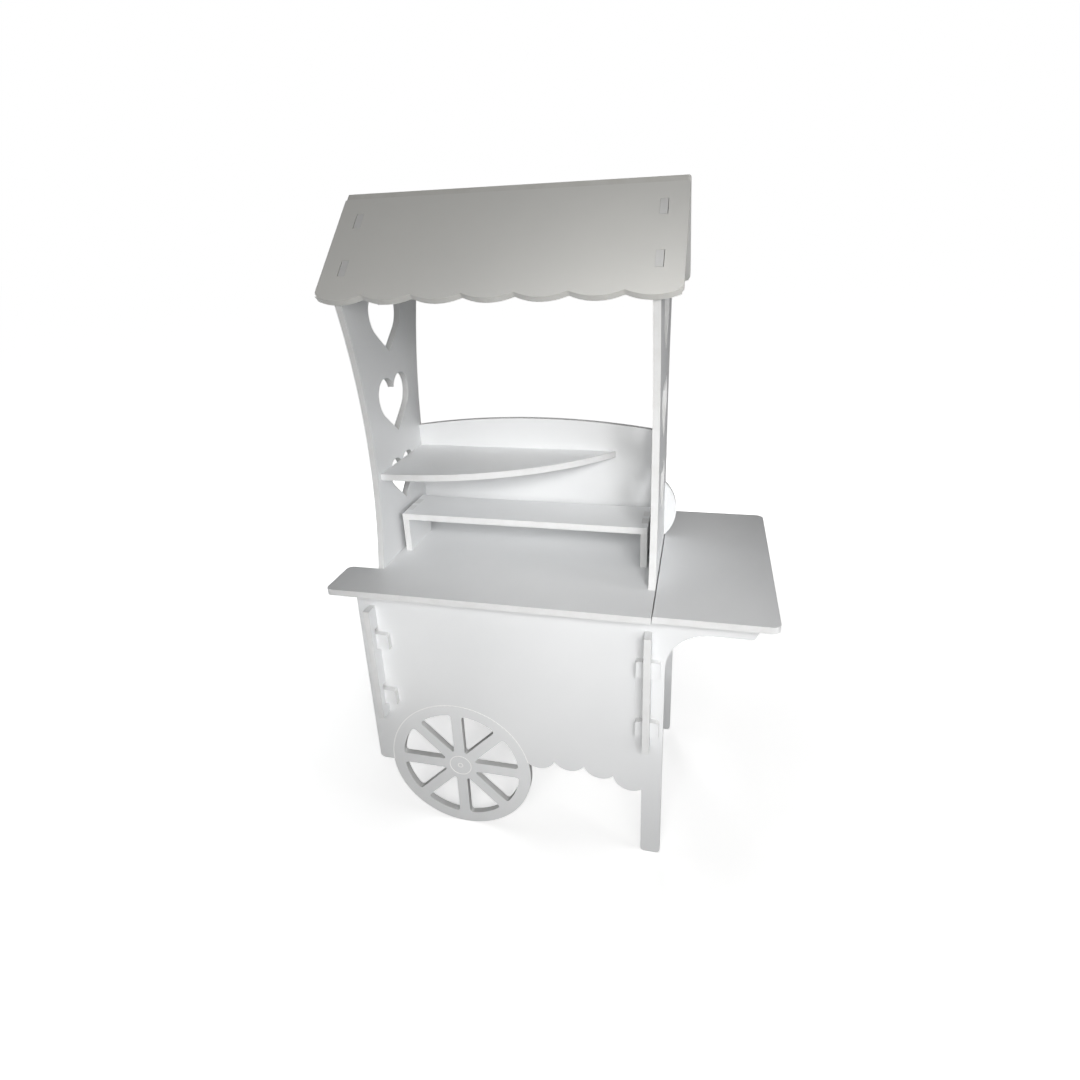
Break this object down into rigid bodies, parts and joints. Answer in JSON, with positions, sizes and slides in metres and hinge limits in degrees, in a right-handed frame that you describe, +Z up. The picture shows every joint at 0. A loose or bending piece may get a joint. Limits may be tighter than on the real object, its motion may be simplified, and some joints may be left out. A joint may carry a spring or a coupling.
{
  "type": "candy cart",
  "caption": "Slot-together serving cart in white painted board, with a gabled roof, heart cut-outs, a riser, a corner shelf, a side shelf and spoked wheels cut in its panels.",
  "frame": {"origin": "on the floor, under the middle of the cart's bounding box", "axes": "+Z up, -Y towards the front with the corner shelf's curved edge, +X towards the side shelf"},
  "size_m": [1.168, 0.675, 1.8],
  "materials": {
    "painted_board": "satin white paint"
  },
  "bodies": {
    "cart": {"front_panel": "painted_board", "back_panel": "painted_board", "end_panel_left": "painted_board", "end_panel_right": "painted_board", "counter": "painted_board", "upright_left": "painted_board", "upright_right": "painted_board", "backboard": "painted_board", "corner_shelf": "painted_board"},
    "riser": {"riser_top": "painted_board", "riser_leg_left": "painted_board", "riser_leg_right": "painted_board"},
    "side_shelf": {"side_shelf": "painted_board"},
    "roof_front": {"roof_front": "painted_board"},
    "roof_back": {"roof_back": "painted_board"},
    "key_front_left_low": {"key_front_left_low": "painted_board"},
    "key_front_left_high": {"key_front_left_high": "painted_board"},
    "key_front_right_low": {"key_front_right_low": "painted_board"},
    "key_front_right_high": {"key_front_right_high": "painted_board"},
    "key_back_left_low": {"key_back_left_low": "painted_board"},
    "key_back_left_high": {"key_back_left_high": "painted_board"},
    "key_back_right_low": {"key_back_right_low": "painted_board"},
    "key_back_right_high": {"key_back_right_high": "painted_board"}
  },
  "joints": [
    {"name": "riser_slide", "type": "slide", "parent": "cart", "child": "riser", "axis": [0, -1, 0], "range_m": [0, 0.2]},
    {"name": "side_shelf_slide", "type": "slide", "parent": "cart", "child": "side_shelf", "axis": [1, 0, 0], "range_m": [0, 0.1]},
    {"name": "roof_front_lift", "type": "slide", "parent": "cart", "child": "roof_front", "axis": [0, -0.7071, 0.7071], "range_m": [0, 0.04]},
    {"name": "roof_back_lift", "type": "slide", "parent": "cart", "child": "roof_back", "axis": [0, 0.7071, 0.7071], "range_m": [0, 0.04]},
    {"name": "key_front_left_low_slide", "type": "slide", "parent": "cart", "child": "key_front_left_low", "axis": [-1, 0, 0], "range_m": [0, 0.06]},
    {"name": "key_front_left_high_slide", "type": "slide", "parent": "cart", "child": "key_front_left_high", "axis": [-1, 0, 0], "range_m": [0, 0.06]},
    {"name": "key_front_right_low_slide", "type": "slide", "parent": "cart", "child": "key_front_right_low", "axis": [1, 0, 0], "range_m": [0, 0.06]},
    {"name": "key_front_right_high_slide", "type": "slide", "parent": "cart", "child": "key_front_right_high", "axis": [1, 0, 0], "range_m": [0, 0.06]},
    {"name": "key_back_left_low_slide", "type": "slide", "parent": "cart", "child": "key_back_left_low", "axis": [-1, 0, 0], "range_m": [0, 0.06]},
    {"name": "key_back_left_high_slide", "type": "slide", "parent": "cart", "child": "key_back_left_high", "axis": [-1, 0, 0], "range_m": [0, 0.06]},
    {"name": "key_back_right_low_slide", "type": "slide", "parent": "cart", "child": "key_back_right_low", "axis": [1, 0, 0], "range_m": [0, 0.06]},
    {"name": "key_back_right_high_slide", "type": "slide", "parent": "cart", "child": "key_back_right_high", "axis": [1, 0, 0], "range_m": [0, 0.06]}
  ]
}
